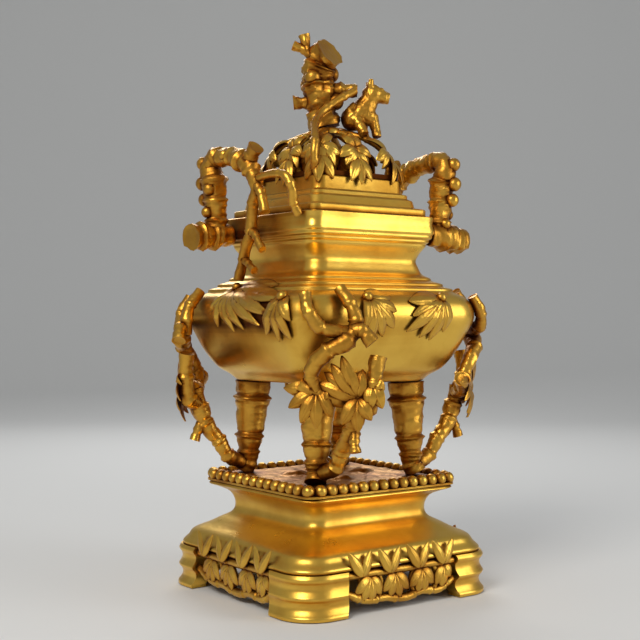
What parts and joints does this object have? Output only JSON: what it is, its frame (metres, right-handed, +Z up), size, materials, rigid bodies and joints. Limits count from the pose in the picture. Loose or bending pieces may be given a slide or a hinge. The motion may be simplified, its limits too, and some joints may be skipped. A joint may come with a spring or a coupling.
{
  "type": "incense burner",
  "caption": "Square bamboo-form gilt bronze incense burner with legs, branch handles, a pierced cover and a footed stand.",
  "frame": {"origin": "middle of the stand's underside", "axes": "+Z up; handles on the +X and -X sides"},
  "size_m": [0.1424, 0.1424, 0.2688],
  "materials": {
    "polished_gilt": "smooth worn gilt bronze",
    "aged_gilt": "gilt bronze, brown in the recesses",
    "leaf_gilt": "chased gilt bronze leaves",
    "dark_gilt": "dull dark gilt bronze"
  },
  "bodies": {
    "stand": {"stand_shell": "polished_gilt", "stand_ground": "dark_gilt", "bead_border": "leaf_gilt", "stand_foot_back_right": "polished_gilt", "stand_foot_back_left": "polished_gilt", "stand_foot_front_left": "polished_gilt", "stand_foot_front_right": "polished_gilt", "apron_front": "leaf_gilt", "apron_right": "leaf_gilt", "apron_back": "leaf_gilt", "apron_left": "leaf_gilt"},
    "vessel": {"vessel_bowl": "polished_gilt", "leg_back_right": "aged_gilt", "leg_back_left": "aged_gilt", "leg_front_left": "aged_gilt", "leg_front_right": "aged_gilt", "leg_branch_back_right": "aged_gilt", "leg_branch_back_left": "aged_gilt", "leg_branch_front_left": "aged_gilt", "leg_branch_front_right": "aged_gilt", "handle_spray_a": "leaf_gilt", "handle_spray_b": "leaf_gilt", "corner_spray_a": "leaf_gilt", "corner_spray_b": "leaf_gilt", "shoulder_spray_a": "leaf_gilt", "shoulder_spray_b": "leaf_gilt", "side_spray_a": "leaf_gilt", "side_spray_b": "leaf_gilt", "handle_left": "aged_gilt", "handle_right": "aged_gilt", "handle_twig_left": "aged_gilt", "handle_twig_right": "aged_gilt"},
    "cover": {"cover_shell": "polished_gilt", "cover_fretwork": "leaf_gilt", "finial_stump": "aged_gilt", "finial_beast": "aged_gilt", "finial_cane": "aged_gilt"}
  },
  "joints": [
    {"name": "vessel_lift", "type": "slide", "parent": "stand", "child": "vessel", "axis": [0, 0, 1], "range_m": [0, 0.06]},
    {"name": "cover_lift", "type": "slide", "parent": "vessel", "child": "cover", "axis": [0, 0, 1], "range_m": [0, 0.08]}
  ]
}
